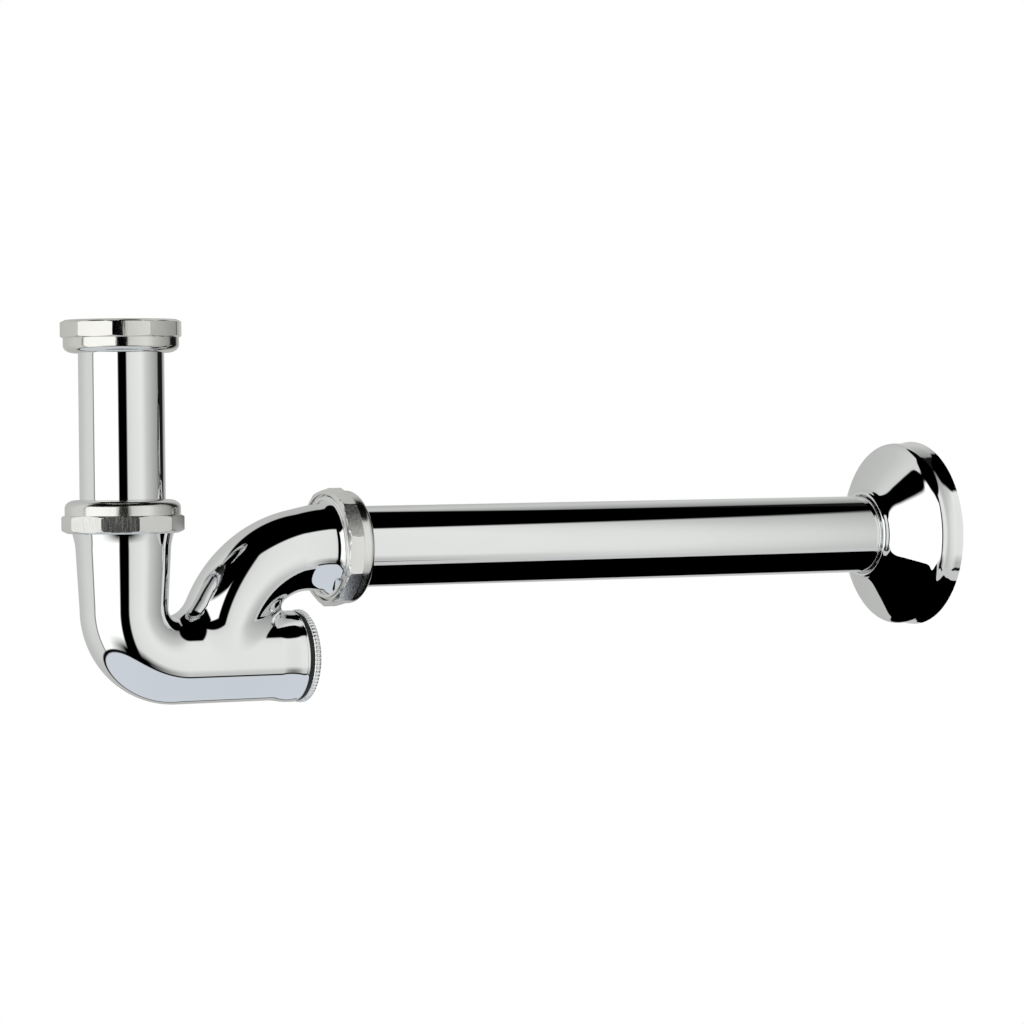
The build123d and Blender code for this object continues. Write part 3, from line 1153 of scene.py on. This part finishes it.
    def shell_material(self) -> bpy.types.Material:
        """Glow by direction: the grey by height times the grey by turn, tinted, over the ground's colour.

        The ceiling's edge tilts with the turn, a low wedge is black, and a dark gap parts walls and ground.

        Returns:
            The shell's material.
        """
        mat = bpy.data.materials.new("studio_surround")
        mat.use_nodes = True
        tree = mat.node_tree
        tree.nodes.clear()
        climb, turned = self.directions(tree)
        by_height = (self.elevation_stops, self.ground_stops, self.gap_stops, self.low_stops)
        tall, ground, gap, low = (self.ramp(tree, stops, span=90.0) for stops in by_height)
        by_turn = (self.turn_stops, self.tilt_stops, self.low_turn_stops)
        wide, tilt, low_turn = (self.ramp(tree, stops, span=180.0) for stops in by_turn)
        for node in (wide, tilt, low_turn):
            tree.links.new(turned, node.inputs["Fac"])
        for node in (ground, gap, low):
            tree.links.new(climb, node.inputs["Fac"])
        raised = tree.nodes.new("ShaderNodeMath")
        raised.operation = "ADD"
        tree.links.new(climb, raised.inputs[0])
        tree.links.new(tilt.outputs["Color"], raised.inputs[1])
        tree.links.new(raised.outputs["Value"], tall.inputs["Fac"])
        walls = self.blend(tree, "MULTIPLY", 1.0, tall.outputs["Color"], wide.outputs["Color"])
        tinted = self.blend(tree, "MULTIPLY", 1.0, walls, (*self.wall_tint, 1.0))
        wedge = self.blend(tree, "MULTIPLY", 1.0, low.outputs["Color"], low_turn.outputs["Color"])
        shaded = self.blend(tree, "MIX", wedge, tinted, BLACK)
        room = self.blend(tree, "MIX", ground.outputs["Color"], shaded, (*self.ground, 1.0))
        seen = self.blend(tree, "MULTIPLY", 1.0, room, gap.outputs["Color"])
        glow = tree.nodes.new("ShaderNodeEmission")
        tree.links.new(seen, glow.inputs["Color"])
        out = tree.nodes.new("ShaderNodeOutputMaterial")
        tree.links.new(glow.outputs["Emission"], out.inputs["Surface"])
        return mat

    def build_shell(self) -> None:
        """Puts up the round surround, hidden from the camera: point = radius times direction."""
        rows, columns = self.shell_grid
        lift = np.linspace(-np.pi / 2, np.pi / 2, rows)[:, None]
        around = (TURN * np.arange(columns) / columns)[None, :]
        parts = (np.cos(lift) * np.cos(around), np.cos(lift) * np.sin(around), np.sin(lift))
        ways = np.stack(np.broadcast_arrays(*parts), axis=-1).reshape(-1, 3)
        mesh = bpy.data.meshes.new("studio_surround")
        quads = ring_faces(rows, columns, close_rows=False)
        mesh.from_pydata((self.shell_radius * ways).tolist(), [], quads.tolist())
        mesh.shade_smooth()
        mesh.materials.append(self.shell_material())
        shell = link_mesh("studio_surround", mesh)
        shell.visible_camera = False
        shell.visible_shadow = False

    def build_card(self) -> None:
        """Lays a black card with a grey front strip under the wall tube, which only reflections see."""
        x, y = np.meshgrid(np.array(self.card_x), np.array(self.card_y))
        points = np.column_stack([x.ravel(), y.ravel(), np.full(x.size, self.card_z)]) * MM
        mesh = bpy.data.meshes.new("studio_card")
        mesh.from_pydata(points.tolist(), [], [[0, 1, 3, 2], [2, 3, 5, 4]])
        for name, grey in self.card_glow:
            mat = bpy.data.materials.new(name)
            mat.use_nodes = True
            board = mat.node_tree.nodes["Principled BSDF"]
            board.inputs["Base Color"].default_value = BLACK
            board.inputs["Roughness"].default_value = 1.0
            board.inputs["Specular IOR Level"].default_value = 0.0
            board.inputs["Emission Color"].default_value = (grey, grey, grey, 1.0)
            board.inputs["Emission Strength"].default_value = 1.0
            mesh.materials.append(mat)
        mesh.polygons.foreach_set("material_index", [0, 1])
        card = link_mesh("studio_card", mesh)
        card.visible_camera = False
        card.visible_diffuse = False
        card.visible_shadow = False

    def build_floor(self) -> None:
        """Lays a pale floor far below, white to the camera and hidden from reflections."""
        far = self.floor_reach
        ends = np.array([[-far, -far], [far, -far], [far, far], [-far, far]])
        points = np.column_stack([ends, np.full(len(ends), self.floor_z)])
        mesh = bpy.data.meshes.new("studio_floor")
        mesh.from_pydata(points.tolist(), [], [[0, 1, 2, 3]])
        mat = bpy.data.materials.new("pale_floor")
        mat.use_nodes = True
        tree = mat.node_tree
        matt = tree.nodes["Principled BSDF"]
        matt.inputs["Base Color"].default_value = (*[self.floor_grey] * 3, 1.0)
        matt.inputs["Roughness"].default_value = self.floor_rough
        glow = tree.nodes.new("ShaderNodeEmission")
        glow.inputs["Color"].default_value = WHITE
        path = tree.nodes.new("ShaderNodeLightPath")
        mix = tree.nodes.new("ShaderNodeMixShader")
        tree.links.new(path.outputs["Is Camera Ray"], mix.inputs["Fac"])
        tree.links.new(matt.outputs["BSDF"], mix.inputs[1])
        tree.links.new(glow.outputs["Emission"], mix.inputs[2])
        tree.links.new(mix.outputs["Shader"], tree.nodes["Material Output"].inputs["Surface"])
        mesh.materials.append(mat)
        floor = link_mesh("studio_floor", mesh)
        floor.visible_glossy = False

    def build_world(self) -> None:
        """White background for the camera at strength 1."""
        world = bpy.data.worlds.new("white_world")
        world.use_nodes = True
        back = world.node_tree.nodes["Background"]
        back.inputs["Color"].default_value = WHITE
        back.inputs["Strength"].default_value = 1.0
        bpy.context.scene.world = world

    def build_camera(self) -> None:
        """Stands the camera where the fit puts it: its columns are right, up and backward, made square."""
        data = bpy.data.cameras.new("camera")
        data.sensor_fit = "HORIZONTAL"
        data.sensor_width = self.sensor
        data.lens = self.lens
        data.clip_start, data.clip_end = self.clip
        camera = bpy.data.objects.new("camera", data)
        columns = np.stack([self.right, self.up, -np.array(self.forward)], axis=1)
        turn, _, other = np.linalg.svd(columns)
        pose = np.eye(4)
        pose[:3, :3] = turn @ other
        pose[:3, 3] = np.array(self.camera_mm) * MM
        camera.matrix_world = Matrix(pose.tolist())
        bpy.context.scene.collection.objects.link(camera)
        bpy.context.scene.camera = camera

    def build(self) -> None:
        """Puts up the surround, the card, the floor, the world and the camera."""
        self.build_shell()
        self.build_card()
        self.build_floor()
        self.build_world()
        self.build_camera()
        bpy.context.scene.view_settings.view_transform = "Standard"


def main() -> None:
    """Builds every sub-assembly in order, then the studio."""
    UnionNut(
        "inlet_nut", "inlet_nut", UP, flip=False, corner_deg=22.5, closed_end=-6.5, crown=0.5
    ).build()
    PlainTube(
        "inlet_tube", "inlet", UP, start=-83.0, end=-2.0, outer=16.5, flange=20.4, flange_at=-2.0
    ).build()
    UnionNut(
        "socket_nut", "socket_nut", UP,
        flip=True, corner_deg=10.3, closed_end=-62.8, finish=SATIN_NUT,
    ).build()
    TrapBody().build()
    UnionNut(
        "outlet_nut", "outlet_nut", TO_WALL,
        flip=True, corner_deg=25.0, closed_end=98.4, crown=0.1, finish=SATIN_NUT,
    ).build()
    PlainTube("wall_tube", "wall_tube", TO_WALL, start=84.5, end=371.5, outer=16.0).build()
    WallRosette().build()
    CleanoutPlug().build()
    SealKit().build()
    Studio().build()


if __name__ == "__main__":
    main()
